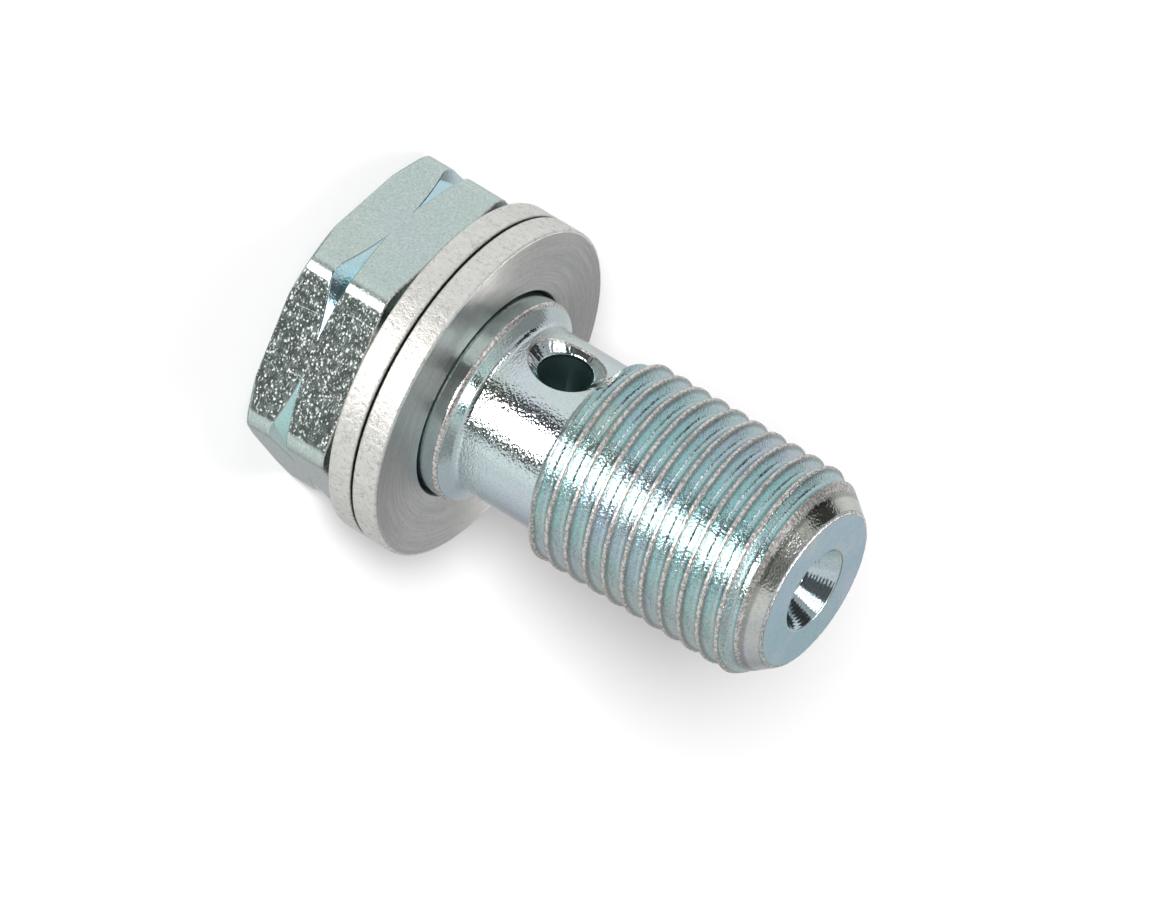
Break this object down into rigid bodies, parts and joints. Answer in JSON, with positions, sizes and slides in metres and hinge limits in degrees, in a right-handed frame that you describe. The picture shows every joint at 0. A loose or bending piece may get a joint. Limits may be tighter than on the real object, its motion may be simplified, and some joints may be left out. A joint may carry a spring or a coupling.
{
  "type": "banjo bolt",
  "caption": "Hollow hexagon-head banjo bolt with an axial bore, a countersunk cross port in its neck, and flat sealing washers against the head.",
  "frame": {"origin": "on the bolt's axis, in the flat top face of the hexagon head that it stands on", "axes": "+Z along the bolt's axis from the head towards the tip, +X along the cross port"},
  "size_m": [0.0159, 0.016, 0.0247],
  "materials": {
    "zinc_steel": "bright zinc plate with a pale blue-green passivation tint",
    "aluminium": "plain turned aluminium, slightly matte faces"
  },
  "bodies": {
    "root": {"banjo_bolt": "zinc_steel", "head_side_washer": "aluminium", "tip_side_washer": "aluminium"}
  },
  "joints": []
}
